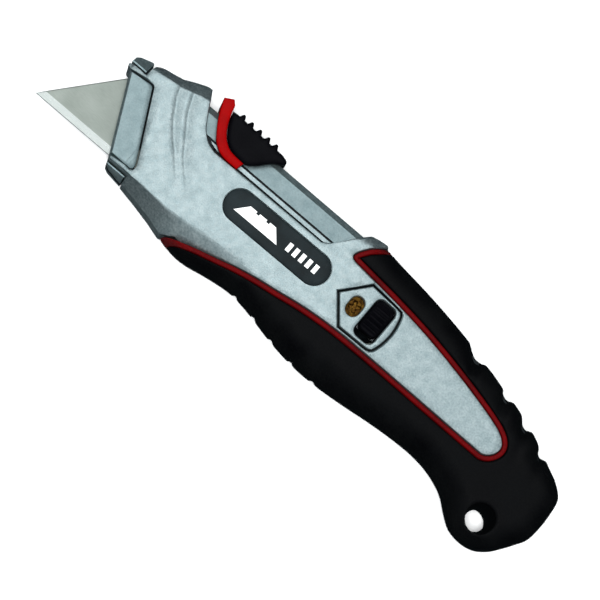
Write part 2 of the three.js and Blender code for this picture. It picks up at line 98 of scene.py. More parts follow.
def arc(x, y, r, start, end, steps):
    """Points on a circle between two angles in degrees."""
    a = np.radians(np.linspace(start, end, steps + 1))
    return np.column_stack([x + r * np.cos(a), y + r * np.sin(a)])


def stadium(x, y, length, height, r, steps=10):
    """A closed outline with round corners, drawn anticlockwise."""
    dx, dy = length / 2 - r, height / 2 - r
    return np.vstack([arc(x + dx, y + dy, r, 0, 90, steps), arc(x - dx, y + dy, r, 90, 180, steps),
                      arc(x - dx, y - dy, r, 180, 270, steps), arc(x + dx, y - dy, r, 270, 360, steps)])


def distance(line, x, y, closed=False):
    """How far each place is from the line."""
    p = np.array(line, float)
    if closed:
        p = np.vstack([p, p[:1]])
    best = np.full(len(x), 1e9)
    for a, b in zip(p, p[1:]):
        ab = b - a
        t = np.clip(((x - a[0]) * ab[0] + (y - a[1]) * ab[1]) / max(ab @ ab, 1e-12), 0, 1)
        best = np.minimum(best, (x - a[0] - t * ab[0]) ** 2 + (y - a[1] - t * ab[1]) ** 2)
    return np.sqrt(best)


def inside(outline, x, y):
    """Which places lie within a closed outline."""
    p = np.array(outline, float)
    hit = np.zeros(len(x), bool)
    for a, b in zip(p, np.roll(p, -1, axis=0)):
        crosses = (a[1] > y) != (b[1] > y)
        rise = b[1] - a[1] if b[1] != a[1] else 1e-12
        hit ^= crosses & (x < a[0] + (y - a[1]) * (b[0] - a[0]) / rise)
    return hit


def soft_drop(drop, r):
    """A drop that starts at zero, with the crease where it starts rounded over a height of r."""
    return np.where(drop > r / 2, drop, np.maximum(drop + r / 2, 0) ** 2 / (2 * r))


def cheek(x):
    """The flat side's height above the seam, lower towards the nose."""
    return CHEEK * (1 - TAPER * np.maximum(TAPER_END - x, 0))


def place(obj_name, points, faces, is_right=False, sharp=32):
    """A mesh object from knife millimetres, turned over for the right side."""
    p = np.array(points, float)
    if is_right:
        p = p * (1, 1, -1)
        faces = [tuple(reversed(f)) for f in faces]
    mesh = bpy.data.meshes.new(obj_name)
    mesh.from_pydata([tuple(v) for v in p * MM + np.array(ORIGIN)], [], faces)
    mesh.shade_smooth()
    mesh.set_sharp_from_angle(angle=math.radians(sharp))
    obj = bpy.data.objects.new(obj_name, mesh)
    bpy.context.scene.collection.objects.link(obj)
    return obj


def step_in(outline, x, y):
    """Which places lie within an outline and off its line, so that a wall can stand on it."""
    return inside(outline, x, y) & (distance(outline, x, y, True) > 0.03)


def relief(obj_name, parts, top, floor, holes=(), creases=(), within=None, grid=1.2, is_right=False,
           is_upright=False, sharp=32):
    """A closed solid whose plan is one or more outlines, with a top and a floor given as heights over it."""
    limits = [] if within is None else [within]
    loops = [np.array(loop, float) for loop in [*parts, *holes, *limits]]
    verts, edges = [], []
    for line, closed in [(loop, True) for loop in loops] + [(np.array(c, float), False) for c in creases]:
        first = len(verts)
        verts += list(line)
        edges += [(i, i + 1) for i in range(first, len(verts) - 1)]
        if closed:
            edges.append((len(verts) - 1, first))
    lines = np.array(verts)
    solid = np.vstack([np.array(part, float) for part in parts])
    low, high = solid.min(axis=0), solid.max(axis=0)
    gx, gy = np.meshgrid(np.arange(low[0], high[0], grid), np.arange(low[1], high[1], grid * 0.87))
    gx = (gx + (np.arange(len(gx)) % 2)[:, None] * grid / 2).ravel()
    gy = gy.ravel()
    near = np.full(len(gx), 1e9)
    for vx, vy in lines:
        near = np.minimum(near, (gx - vx) ** 2 + (gy - vy) ** 2)
    keep = near > (0.45 * grid) ** 2
    points = [Vector(v) for v in lines] + [Vector(v) for v in zip(gx[keep], gy[keep])]
    out_verts, _, tris, _, _, _ = delaunay_2d_cdt(points, edges, [], 0, 1e-5)
    v = np.array([(p.x, p.y) for p in out_verts])
    t = np.array(tris)
    mx, my = v[t].mean(axis=1).T
    held = np.any([inside(part, mx, my) for part in parts], axis=0)
    for hole in holes:
        held &= ~inside(hole, mx, my)
    if within is not None:
        held &= inside(within, mx, my)
    used, t = np.unique(t[held], return_inverse=True)
    v, t = v[used], t.reshape(-1, 3)
    area = np.cross(v[t[:, 1]] - v[t[:, 0]], v[t[:, 2]] - v[t[:, 0]])
    t[area < 0] = t[area < 0][:, ::-1]
    x, y = v[:, 0], v[:, 1]
    upper, lower = np.column_stack([x, y, top(x, y)]), np.column_stack([x, y, floor(x, y)])
    lower[:, 2] = np.minimum(lower[:, 2], upper[:, 2] - 0.1)
    faces = [tuple(f) for f in t] + [tuple(f) for f in t[:, ::-1] + len(v)]
    directed = {e for a, b, c in t for e in ((a, b), (b, c), (c, a))}
    faces += [(b, a, a + len(v), b + len(v)) for a, b in sorted(directed) if (b, a) not in directed]
    solid = np.vstack([upper, lower])
    if is_upright:
        solid = np.column_stack([solid[:, 0], solid[:, 2], -solid[:, 1]])
    return place(obj_name, solid, faces, is_right, sharp)


def fit(obj, material, slot, body, *nodes):
    """Give a piece its finish and its body, and let it stand for its plain solids."""
    obj.data.materials.append(material)
    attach(obj, body)
    if nodes:
        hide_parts(*nodes)


# The silhouette of the handle, from the liner's front end under the belly to the front of the spine.
belly = smooth([(-38.6, -11.8), (-36, -12.4), (-32, -12.9), (-28, -12.6), (-24, -11.8), (-19, -11),
                (-15, -10.7), (-10, -11.2), (-5, -12.2), (0, -13.3), (5, -14.1), (10, -14.6), (15, -14.7),
                (20, -14.5), (27, -13.8), (35, -12.8), (42, -12.2), (48, -12.05), (53, -12.5), (57, -13.5),
                 (60.5, -14.9), (63, -16.5)], 0.6)
heel = smooth([(66, -19), (69, -20.8), (73, -21.5), (77, -20.9), (80.3, -18.6), (82.8, -15.4), (84.8, -12.3),
               (86.3, -9.5), (86.8, -5), (86.6, 0), (85.9, 3.4), (84, 5.6), (81.5, 7.3)], 0.8)
spine = smooth([(78, 9), (72, 11.9), (64, 14.9), (56, 17.2), (50, 18.7), (42, 20.3), (35, 21.6), (25, 23.1),
                (15, 24.2), (9, 25)], 0.6)
nose_bottom = np.array([(-55.3, -8.05), (-50, -9), (-44, -10.3), (-38.6, -11.8)])
nose_top = np.array([(-53.4, 26.8), (-54.6, 26.7), (-56.5, 26), (-59, 24.9), (-61, 23.9), (-64, 23.3),
                     (-67, 22.7), (-68.6, 21.8)])
handle = np.vstack([belly, heel, spine])
LINER_WIDTH = 1.25
GAP = 0.2

# Where the bare tongue ends: along the lower arm, round the tip, back along the upper arm, up the shoulder.
tongue_line = np.vstack([
    smooth([(-45, -14.6), (-40.8, -12.4), (-36, -10.9), (-30, -9), (-24, -7.4), (-18, -5.8), (-12, -4.6),
            (-6, -3.7), (0, -2.7), (6, -2), (14, -1.5), (25, -1.4), (42, -1.5), (59, -1.6), (62.3, -1.4),
            (64.2, 0.1), (65, 2.2), (64.4, 4), (62.2, 5.7), (58, 7.2), (50, 9.2), (40, 11.3), (30, 13),
            (20, 14.2), (12, 14.9)], 0.7),
    smooth([(5, 15.5), (3.7, 15.8), (3.1, 16.7), (3.6, 18.2)], 0.4),
    smooth([(5.2, 20.6), (7.4, 22.9), (10.4, 26)], 0.7)])


def tongue_side(shift):
    """The plan of all that lies on the metal's side of the tongue line, moved outwards."""
    return np.vstack([moved(tongue_line, -shift), [(11, 60), (-120, 60), (-120, -60), (-43, -60)]])


def front_x(y):
    """The nose front leans forward towards the spine."""
    return -64.92 - 0.505 * y


# The step from the cheek down to the ledge that the slider's skirts pass over.
cut_edge = np.vstack([[(-53.4, 26.8), (-52, 24.2), (-50.5, 21.4), (-49, 19)],
                      smooth([(-47.8, 17.1), (-46.4, 15.7), (-44.4, 14.4), (-42, 13.7)], 0.4),
                      straight([(-38, 13.7), (-9, 13.7)], 1.2),
                      smooth([(-5.6, 13.7), (-4.2, 14.5), (-3, 15.8)], 0.4), [(0.5, 20.1), (3.4, 23.9)]])
cut_plan = np.vstack([cut_edge, [(6, 60), (-53.4, 60)]])
ledge_edge = cut_edge + (0.3, 0.95)
ledge_plan = np.vstack([ledge_edge, [(6.4, 60), (-53, 60)]])
LEDGE_TOP = 15.75
ARM_TOP = 17.75
FRONT_SLOPE = math.cos(math.atan(0.505))
LEDGE = 6.2
window_edge = np.vstack([[(front_x(16.55), 16.55)], smooth([(-66.5, 17.15), (-65.6, 17), (-65, 16.4)], 0.4),
                         straight([(-64.6, 15.6), (-55.2, -2.0)], 1.2),
                         smooth([(-54.95, -3), (-55.2, -3.9), (-56, -4.25)], 0.4), [(front_x(-4.4), -4.4)]])
lock_plate_edge = np.vstack([[(6.4, 6.6), (12.2, 13.6)],
                             smooth([(21, 13.1), (22.6, 12.4), (23.7, 8), (23.6, 4),
                             (22.6, 0.5), (21, -0.2)], 0.7), [(12.2, -0.4)]])[::-1]
BADGE = dict(x=-15.2, y=7.1, length=34.4, height=9.2, r=4.55)
SCREW = (12.0, 6.4)
SLOT = dict(x=18.55, y=6.65, length=6.3, height=11.9)
LANYARD = (72.5, -14.6, 3.9)
lock_groove = moved(lock_plate_edge, -0.5, closed=True)
badge_pocket = stadium(BADGE["x"], BADGE["y"], BADGE["length"] + 0.3, BADGE["height"] + 0.3,
                       BADGE["r"] + 0.15, 12)
flutes = [smooth([(-60.3, 22), (-59, 18.5), (-57.5, 16), (-56, 13.5), (-54, 11), (-52, 8.8), (-50, 6.8),
                  (-46.5, 3), (-43, -1)], 0.7),
          smooth([(-56.6, 23), (-55.8, 21), (-54, 17), (-52, 14), (-50, 11.2), (-47, 7), (-43, 2.9),
                  (-39.5, -0.8)], 0.7)]
# Where the flat cheek turns into the chamfers above and below.
upper_crease = np.array([(-68.8, 20.1), (-65, 20.7), (-62, 21.0), (-60, 21.3), (-58, 21.8), (-56, 22.4),
                         (-53, 23.1), (-50, 23.5)])
lower_crease = np.array([(-62, -5.2), (-50, -5.5), (-42, -6.0), (-36, -5.6), (-30, -5.0), (-22, -4.3),
                         (-12, -3.6)])
base_line = np.vstack([nose_bottom, belly[1:]])


def along(line, x):
    """The line's height at each place along the knife."""
    order = np.argsort(line[:, 0])
    return np.interp(x, line[order, 0], line[order, 1])


def edge_drop(d, r):
    """How far a rounded edge falls at a distance d from it."""
    return np.where(d < r, r - np.sqrt(np.maximum(r**2 - (r - np.minimum(d, r)) ** 2, 0)), 0)


def metal_top(x, y, is_left):
    flat = cheek(x)
    rise = along(nose_top, x) - along(upper_crease, x)
    over = (y - along(upper_crease, x)) / np.maximum(rise, 0.5)
    under = (along(lower_crease, x) - y) / (along(lower_crease, x) - along(base_line, x))
    z = flat - np.where(x < -48, soft_drop(3.2 * over, 0.35), 0)
    softness = np.interp(x, [-50, -34, -14], [0.35, 0.9, 2.2])
    z = z - soft_drop(4.3 * under, softness) * np.interp(x, [-28, -8], [1, 0])
    shoulder = (y - 21.4) / 2.6
    z = z - np.where((x > -1) & (y > 18), soft_drop(2.4 * shoulder, 0.35), 0)
    for flute in flutes:
        behind = inside(np.vstack([flute, [(-20, -10), (-20, 30)]]), x, y)
        d = distance(flute, x, y) * np.where(behind, 1, -1)
        width = np.where(d < 0, 0.45, 1.5)
        z = z - 0.3 * np.clip((y + 1) / 9, 0, 1) * np.clip(26 - y, 0, 1) * np.exp(-(d / width) ** 2)
    z = z - edge_drop(distance(np.vstack([cut_edge, nose_top]), x, y), 0.4)
    z = z - edge_drop(distance(tongue_line, x, y), 0.5)
    z = z - edge_drop(distance(window_edge, x, y), 0.3)
    behind_front = (x - front_x(y)) * FRONT_SLOPE
    z = z - np.where(x < -58, 0.9 * np.clip(0.8 - behind_front, 0, 0.8), 0)
    z = z - np.where(y > 16, 0.45 * np.clip(y - 16.5, 0, 1.3) * np.clip(-68.4 - x, 0, 1), 0)
    in_cut = inside(cut_plan, x, y) & (distance(cut_edge, x, y) > 0.03)
    z = np.where(in_cut, np.where(inside(ledge_plan, x, y), LEDGE, LEDGE - 0.9), z)
    z = z - np.where(step_in(badge_pocket, x, y), 0.7, 0)
    if is_left:
        lock_edge = edge_drop(distance(lock_groove, x, y, True), 0.3)
        z = z - np.where(step_in(lock_groove, x, y), 3, lock_edge)
    core = ~inside(tongue_side(0), x, y) & (distance(tongue_line, x, y) > 0.03)
    return np.where(core, CORE * cheek(x) / CHEEK, z)


def metal_floor(x, y):
    """Deep over the carrier and the magazine, with drafted walls, and just clear of the blade in front."""
    in_hollow = inside(hollow, x, y) * np.clip(distance(hollow, x, y, True) / 0.6, 0, 1)
    over_blade = (x < -50) & (y > -4.2) & (y < 15.6)
    return np.maximum(np.where(over_blade, 0.45, 0.04), 5.3 * in_hollow)


def ring(outline, offset):
    """A closed crease line just inside an outline."""
    line = moved(outline, offset, closed=True)
    return np.vstack([line, line[:1]])


core_line = moved(handle, 2.6)
core_line = core_line[(core_line[:, 0] > -36) & ~((core_line[:, 0] < 12) & (core_line[:, 1] > 0))]
shell_plan = np.vstack([
    [(front_x(-4.4), -4.4), (front_x(-5.75) + 0.2, -5.75), (-55.3, -5.75)],
    straight([*nose_bottom[:3], (-39.2, -11.65)], 1.5), core_line,
    smooth([(8.3, 24.9), (6, 24.6), (3.4, 23.9)], 0.7)[:-1], [(3.4, 23.9), (0.5, 20.1),
    (-2.7, LEDGE_TOP)], straight([(-3.5, LEDGE_TOP), (-46.2, LEDGE_TOP)], 2), cut_edge[4:0:-1],
    smooth(nose_top, 0.8), [(-68.8, ARM_TOP)], straight([(-69.4, ARM_TOP), (-73.9, ARM_TOP)], 1.2),
    smooth([(-74.3, 17.6), (-74.4, 17.2), (-74.1, 16.8)], 0.3), window_edge])
hollow = straight([(-57.6, -4.4), (-38, -8), (9, -9), (60, -9), (82, -8), (82, 5), (66, 9.5), (52, 15.6),
                   (12, 15.8), (-3, 15.8), (-57.6, 15.8), (-57.6, -4.4)], 1.2)[:-1]


def to_linear(value):
    """The linear share of one 8-bit screen value."""
    if value <= 10:
        return value / 255 / 12.92
    return ((value / 255 + 0.055) / 1.055) ** 2.4


def srgb(red, green, blue):
    """A colour from 8-bit screen values."""
    return tuple(to_linear(value) for value in (red, green, blue))


def blank(name, metallic, specular=0.5):
    """A new material with its constant values set."""
    mat = bpy.data.materials.new(name)
    mat.use_nodes = True
    shader = mat.node_tree.nodes["Principled BSDF"]
    shader.inputs["Metallic"].default_value = metallic
    shader.inputs["Specular IOR Level"].default_value = specular
    return mat


def noise(mat, size, detail=2.0, stretch=(1, 1, 1)):
    """Noise with features of about the given size in millimetres, drawn out along an axis by stretch."""
    nodes, links = mat.node_tree.nodes, mat.node_tree.links
    where = nodes.new("ShaderNodeTexCoord")
    scaled = nodes.new("ShaderNodeMapping")
    scaled.inputs["Scale"].default_value = [1 / s for s in stretch]
    texture = nodes.new("ShaderNodeTexNoise")
    texture.inputs["Scale"].default_value = 1 / (size * MM)
    texture.inputs["Detail"].default_value = detail
    links.new(where.outputs["Object"], scaled.inputs["Vector"])
    links.new(scaled.outputs["Vector"], texture.inputs["Vector"])
    return texture.outputs["Fac"]


def mixed(mat, first, second, share):
    """Two values added, with the second counting for the given share."""
    nodes, links = mat.node_tree.nodes, mat.node_tree.links
    node = nodes.new("ShaderNodeMix")
    node.inputs["Factor"].default_value = share
    links.new(first, node.inputs["A"])
    links.new(second, node.inputs["B"])
    return node.outputs["Result"]


def tinted(mat, value, stops):
    """The material's base colour from a value, by colour stops."""
    nodes, links = mat.node_tree.nodes, mat.node_tree.links
    ramp = nodes.new("ShaderNodeValToRGB")
    while len(ramp.color_ramp.elements) < len(stops):
        ramp.color_ramp.elements.new(0.5)
    for element, (position, color) in zip(ramp.color_ramp.elements, stops):
        element.position = position
        element.color = (*srgb(*color), 1)
    links.new(value, ramp.inputs["Fac"])
    links.new(ramp.outputs["Color"], nodes["Principled BSDF"].inputs["Base Color"])


def roughened(mat, value, low, high):
    """The material's roughness from a value."""
    nodes, links = mat.node_tree.nodes, mat.node_tree.links
    span = nodes.new("ShaderNodeMapRange")
    span.inputs["From Min"].default_value = 0.3
    span.inputs["From Max"].default_value = 0.7
    span.inputs["To Min"].default_value = low
    span.inputs["To Max"].default_value = high
    links.new(value, span.inputs["Value"])
    links.new(span.outputs["Result"], nodes["Principled BSDF"].inputs["Roughness"])


def embossed(mat, value, height, strength=1.0):
    """The material's surface relief from a value, with its height in millimetres."""
    nodes, links = mat.node_tree.nodes, mat.node_tree.links
    bump = nodes.new("ShaderNodeBump")
    bump.inputs["Strength"].default_value = strength
    bump.inputs["Distance"].default_value = height * MM
    links.new(value, bump.inputs["Height"])
    links.new(bump.outputs["Normal"], nodes["Principled BSDF"].inputs["Normal"])


def hammered(name, dark, light, metallic=0.94):
    """Metallic enamel with a hammered grain: small dimples, darker in the pits, over slow clouds."""
    mat = blank(name, metallic)
    grain = noise(mat, 0.55, 3)
    clouds = noise(mat, 2.6, 2)
    both = mixed(mat, grain, clouds, 0.35)
    tinted(mat, both, [(0.34, dark), (0.5, [(a + b) / 2 for a, b in zip(dark, light)]), (0.66, light)])
    roughened(mat, grain, 0.34, 0.5)
    embossed(mat, both, 0.12, 0.55)
    return mat


def repaint(obj, material, chosen):
    """A second finish for the faces whose centres, in knife millimetres, pass a test."""
    obj.data.materials.append(material)
    centres = np.zeros(3 * len(obj.data.polygons))
    obj.data.polygons.foreach_get("center", centres)
    x, y, z = ((centres.reshape(-1, 3) - np.array(ORIGIN)) / MM).T
    obj.data.polygons.foreach_set("material_index", chosen(x, y, np.abs(z)).astype(np.int32))


silver = hammered("silver_hammered_paint", (156, 176, 180), (212, 227, 229))
# A near-black copy of the hammered paint, used as painted shade on grooves, gaps and the floors of recesses.
recess_shade_paint = hammered("painted_recess_shade", (14, 18, 20), (32, 38, 41), 0.6)


def recesses(x, y, z):
    """Faces given painted shade: the floor around the lock plate, the foot of the ledge, and all that the
    rubber covers, darkened where shade falls in grooves and gaps.
    """
    foot = inside(cut_plan, x, y) & (z < LEDGE - 0.4)
    around_lock = inside(lock_groove, x, y) & (z < CHEEK - 0.5)
    under_rubber = ~inside(tongue_side(0.01), x, y) & (z < CORE + 0.5)
    return around_lock | foot | under_rubber


shell_creases = [ledge_edge, moved(ledge_edge, 0.06), tongue_line, moved(tongue_line, -0.06),
                 moved(tongue_line, 0.2), moved(tongue_line, 0.5),
                 cut_edge[1:], moved(cut_edge, 0.06), moved(cut_edge, -0.2), moved(cut_edge, -0.4),
                 ring(badge_pocket, 0), ring(badge_pocket, 0.06), ring(badge_pocket, -0.3),
                 upper_crease, moved(upper_crease, 0.3), moved(upper_crease, -0.3), lower_crease,
                 moved(lower_crease, 0.35), moved(lower_crease, -0.35), ring(hollow, 0), ring(hollow, 0.6)]
shell_creases += [moved(flute, d) for flute in flutes for d in (-1.6, -0.8, -0.3, 0, 0.3, 0.7)]
for is_right in (False, True):
    side = "right" if is_right else "left"
    creases = list(shell_creases)
    holes = [stadium(LANYARD[0], LANYARD[1], 10.4, 10.4, 5.2, 8)]
    if is_right:
        holes.append(stadium(*SCREW, 5.6, 5.6, 2.8, 8))
    else:
        creases += [ring(lock_groove, 0), ring(lock_groove, 0.06), ring(lock_groove, -0.3)]
        holes += [stadium(*SCREW, 6.4, 6.4, 3.2, 8), stadium(SLOT["x"], SLOT["y"], 6.3, 11.9, 1.0, 4)]
    shell = relief(side + "_body_half", [shell_plan], lambda x, y, left=not is_right: metal_top(x, y, left),
                   metal_floor, holes, creases, grid=1.3, is_right=is_right)
    fit(shell, silver, "silver_paint", "body", side + "_shell")
    repaint(shell, recess_shade_paint, recesses)

# ---------------------------------------------------------------------------------------------
# Blade guides. One casting in each body half, in grey satin paint, fills the window in the nose,
# keeps the blade from tilting, and ends in a small lug above and below the window.

guide_plate = np.vstack([
    [(front_x(16.2), 16.2)], smooth([(-66.7, 16.72), (-65.9, 16.6), (-65.4, 16.1)], 0.4),
    straight([(-65.05, 15.4), (-55.65, -2.05)], 1.2),
    smooth([(-55.45, -2.9), (-55.6, -3.5), (-56.2, -3.85)], 0.4),
    [(front_x(-4.0), -4.0)]])[::-1]
guide_web = np.array([(-74.3, 18.7), (-74.2, 19.6), (-73.3, 20.4), (-67, 21.4), (-57.9, 20), (-57.9, -7.2),
                      (-60.6, -7), (front_x(-4.6) + 0.3, -4.6)])[::-1]
upper_lug = np.array([(-74.3, 18.45), (-74.2, 20.3), (-73.3, 21.2), (-69.9, 22.5), (-69.5, 22.2),
                      (-69.5, 18.45)])[::-1]
lower_lug = np.array([(-62, -6.2), (-60.6, -7), (-55.8, -7.9), (-55.8, -6.2)])
PLATE_TOP, WEB_TOP, LUG_TOP = 6.6, 1.2, 5.4
CARRIER_FRONT, CARRIER_ROOM = -57.0, 3.6


def guide_top(x, y):
    z = np.full(len(x), WEB_TOP)
    plate = PLATE_TOP - edge_drop(distance(guide_plate, x, y, True), 0.35)
    behind_front = (x - front_x(y)) * FRONT_SLOPE
    plate = plate - 1.1 * np.clip(0.65 - behind_front, 0, 0.65)
    z = np.where(step_in(guide_plate, x, y), plate, z)
    z = np.where(step_in(upper_lug, x, y), LUG_TOP - 0.85 * np.maximum(y - 18.9, 0), z)
    return np.where(step_in(lower_lug, x, y), LUG_TOP - 1.8 * np.maximum(-6.6 - y, 0), z)


def guide_floor(x, y):
    """Just clear of the blade, and cut back at the rear for the carrier's foremost place."""
    return np.where((x > CARRIER_FRONT) & (y > -5), CARRIER_ROOM, 0.5)


grey_paint = hammered("grey_satin_paint", (128, 149, 153), (168, 187, 190), 0.88)
guide_creases = [ring(guide_plate, d) for d in (0, 0.06, 0.35)]
for lug in (upper_lug, lower_lug):
    guide_creases += [ring(lug, 0.0), ring(lug, 0.06)]
guide_creases += [[(-75, 18.9), (-69, 18.9)], [(-62, -6.6), (-55.5, -6.6)],
                  [(front_x(16) + 0.72, 16), (front_x(-3.7) + 0.72, -3.7)]]
guide_creases += [[(CARRIER_FRONT + d, -4.2), (CARRIER_FRONT + d, 1)] for d in (-0.03, 0.03)]
for is_right in (False, True):
    side = "right" if is_right else "left"
    guide = relief(side + "_blade_guide", [guide_plate, guide_web, upper_lug, lower_lug], guide_top,
                   guide_floor, (), guide_creases, grid=1.1, is_right=is_right)
    fit(guide, grey_paint, "guide_paint", "body", side + "_nose_insert")
    # Painted shade: the low web, seen only in the gaps round the lugs, is painted near-black.
    repaint(guide, recess_shade_paint, lambda x, y, z: z < WEB_TOP + 0.1)

# ---------------------------------------------------------------------------------------------
# Slider rail. A folded steel channel in the same grey paint, held between the halves under the
# spine, with chamfered shoulders and a slot along its top for the slider's stem.

RAIL = dict(front=-54.0, rear=2.0, half=4.8, top=23.2, shoulder=21.4, flat=3.5, foot=12.8, wall=1.4,
            lip=16.65, lip_half=4.2)


def rail_top(x, z):
    out = np.abs(z)
    slope = (RAIL["top"] - RAIL["shoulder"]) / (RAIL["half"] - RAIL["flat"])
    y = RAIL["top"] - soft_drop(slope * (out - RAIL["flat"]), 0.3)
    return y - edge_drop(distance(rail_slot, x, z, True), 0.25)


def rail_floor(x, z):
    foot = np.where(np.abs(z) > RAIL["lip_half"] - 0.03, RAIL["lip"], RAIL["foot"])
    return np.where(step_in(rail_hollow, x, z), RAIL["top"] - 2.6, foot)


def oblong(x0, x1, y0, y1):
    """A closed rectangle, drawn anticlockwise."""
    return np.array([(x0, y0), (x1, y0), (x1, y1), (x0, y1)])


rail_slot = stadium(-25.35, 0, 48.3, 3.4, 1.7, 8)
inner = RAIL["half"] - RAIL["wall"]
rail_hollow = oblong(RAIL["front"] - 1, RAIL["rear"] + 1, -inner, inner)
rail_plan = oblong(RAIL["front"], RAIL["rear"], -RAIL["half"], RAIL["half"])
lip, flat = RAIL["lip_half"], RAIL["flat"]
rail_lines = (-lip, 0.06 - lip, -flat - 0.2, -flat, 0.2 - flat, flat - 0.2, flat, flat + 0.2,
              lip - 0.06, lip, inner, inner - 0.06, -inner, 0.06 - inner)
rail_creases = [[(RAIL["front"], w), (RAIL["rear"], w)] for w in rail_lines]
rail = relief("rail_channel", [rail_plan], rail_top, rail_floor, [rail_slot],
              rail_creases + [ring(rail_slot, -0.25)], grid=1.6, is_upright=True)
fit(rail, grey_paint, "guide_paint", "body", "slider_rail")
# Painted shade: the lips and the inside of the channel are painted near-black for the dark gap beside the
# ledge.
repaint(rail, recess_shade_paint, lambda x, y, z: (y < RAIL["lip"] + 0.05) & (z < RAIL["half"] - 0.05))

# ---------------------------------------------------------------------------------------------
# Rubber grip. A black rubber half is moulded over the core of each body half, flat beside the
# tongue and rounded down to the seam, with finger notches cut across the spine and the belly.
# A red strip of the same rubber is moulded first, between the black and the metal.

GRIP = 10.1
NOTCH_STARTS = (-14.4, -7.1, 0.2, 7.9, 15.6)
NOTCH = dict(depth=0.6, front=0.8, rear=1.2)
grip_belly = smooth(belly[::4], 0.2)
notch = np.zeros(len(grip_belly))
for start in NOTCH_STARTS:
    behind = grip_belly[:, 0] - start
    to_end = NOTCH["front"] + NOTCH["rear"] - behind
    notch += np.clip(NOTCH["depth"] * np.minimum(behind / NOTCH["front"], to_end / NOTCH["rear"]), 0, None)
grip_belly = grip_belly + np.column_stack([np.zeros(len(notch)), notch])
scallops = smooth([(42, 20), (43.3, 19.2), (44.8, 18.4), (46.8, 18.1), (48.5, 18.6), (51, 18.2),
                   (54, 17.4), (56.2, 16.8), (57.1, 15.8), (58.8, 15.3), (60.2, 15.8), (62, 15.4),
                   (64.4, 14.6), (65.4, 13.6), (66.2, 12.9), (67.5, 12.5), (69, 13), (70.7, 12.4),
                   (72.3, 11.7), (73.5, 10.9), (74.2, 9.7), (75.2, 9.3), (76.8, 9.5), (78, 8.9)],
                  0.45)[::-1]
grip_spine = np.vstack([scallops, spine[spine[:, 0] < 41.5]])
grip_plan = np.vstack([grip_belly, heel, grip_spine])
# The lanyard hole is narrower by the taper inside, and rubber lines it as far out as the bush.
HOLE_TAPER, BUSH = 1.0, 5.0


def circle(r):
    """A closed outline around the lanyard hole."""
    return stadium(LANYARD[0], LANYARD[1], 2 * r, 2 * r, r, 12)


grip_hole = circle(LANYARD[2] - HOLE_TAPER)
core_plan = np.vstack([moved(handle, 2.6), [(0, 15), (-30, -8)]])
DENTS = ((45.3, 17.6, 5.5), (57.8, 14.9, 6), (66.6, 12.3, 6), (74.6, 9.2, 5))


def grip_round(x, y):
    """How far the rounded flank lies below the flat of the grip."""
    width = np.interp(x, [-36, -20, 0, 18, 40], [2.2, 3.4, 5.6, 6.6, 6.2])
    t = np.clip(1 - distance(grip_plan, x, y) / width, 0, 1)
    return (GRIP - 1.4) * (1 - np.sqrt(np.maximum(1 - t**2.1, 0))) + 0.35 * t


def grip_top(x, y):
    z = GRIP * cheek(x) / CHEEK - grip_round(x, y)
    for cx, cy, reach in DENTS:
        along_spine = (x - cx) + 0.3 * (y - cy)
        inwards = cy - y
        z = z - 1.3 * np.exp(-(along_spine / 1.5) ** 2 - (np.maximum(inwards, 0) / reach) ** 2)
    for start in NOTCH_STARTS:
        lean = x - start - 0.9 + 0.25 * (y + 10)
        z = z - 0.5 * np.exp(-(lean / 0.6) ** 2 - ((y - along(belly, start + x * 0)) / 3.2) ** 2)
    z = z - edge_drop(distance(grip_inner, x, y), 0.4)
    from_hole = np.hypot(x - LANYARD[0], y - LANYARD[1])
    z = z - edge_drop(from_hole - LANYARD[2], 0.9)
    in_hole = (z - 0.9) * np.clip(from_hole - LANYARD[2] + HOLE_TAPER, 0, 1)
    z = np.where(from_hole < LANYARD[2] + 0.01, in_hole, z)
    return np.maximum(z, 0.6)


def over_core(x, y):
    on_core = step_in(core_plan, x, y) & (np.hypot(x - LANYARD[0], y - LANYARD[1]) > BUSH)
    return np.where(on_core, (CORE + 0.15) * cheek(x) / CHEEK, 0.04)


def rubber(name, dark, light, rough):
    """Moulded rubber: a fine eroded skin, with slow changes of sheen where hands polish it."""
    mat = blank(name, 0, 0.1)
    skin = noise(mat, 0.28, 3)
    wear = noise(mat, 9, 2)
    tinted(mat, mixed(mat, skin, wear, 0.5), [(0.35, dark), (0.65, light)])
    roughened(mat, wear, rough - 0.06, rough + 0.1)
    embossed(mat, skin, 0.05, 0.5)
    return mat


black_rubber = rubber("black_grip_rubber", (2, 2, 3), (7, 8, 9), 0.5)
red_rubber = rubber("red_liner_rubber", (56, 2, 4), (92, 4, 6), 0.45)
grip_inner = moved(tongue_line, -LINER_WIDTH - 2 * GAP)
liner_outer = moved(tongue_line, -LINER_WIDTH - GAP)
liner_inner = moved(tongue_line, -GAP)
liner_plan = np.vstack([liner_inner, liner_outer[::-1]])
core_ring = [ring(core_plan, 0), ring(core_plan, 0.06)]


def liner_top(x, y):
    z = (GRIP + 0.1) * cheek(x) / CHEEK - grip_round(x, y)
    return z - edge_drop(distance(liner_inner, x, y), 0.35) - edge_drop(distance(liner_outer, x, y), 0.35)


for is_right in (False, True):
    side = "right" if is_right else "left"
    grip = relief(side + "_grip_rubber", [grip_plan], grip_top, over_core,
                  [tongue_side(LINER_WIDTH + 2 * GAP), grip_hole],
                  core_ring + [moved(grip_inner, -0.15), moved(grip_inner, -0.4)]
                  + [ring(circle(LANYARD[2] + d), 0) for d in (-0.5, 0, 0.06, 0.3, 0.9, 1.1, 1.16)]
                  + [moved(handle, d) for d in (0.35, 0.8, 1.5)],
                  grid=0.7, is_right=is_right, sharp=50)
    fit(grip, black_rubber, "grip_rubber", "body", side + "_grip")
    liner = relief(side + "_red_strip", [liner_plan], liner_top, over_core, (),
                   core_ring + [moved(liner_inner, -d) for d in (0.12, 0.35, 0.62, 0.9, 1.13)],
                   within=np.vstack([nose_bottom[2:3], handle]), grid=1.0, is_right=is_right, sharp=60)
    fit(liner, red_rubber, "liner_rubber", "body", side + "_grip_liner")

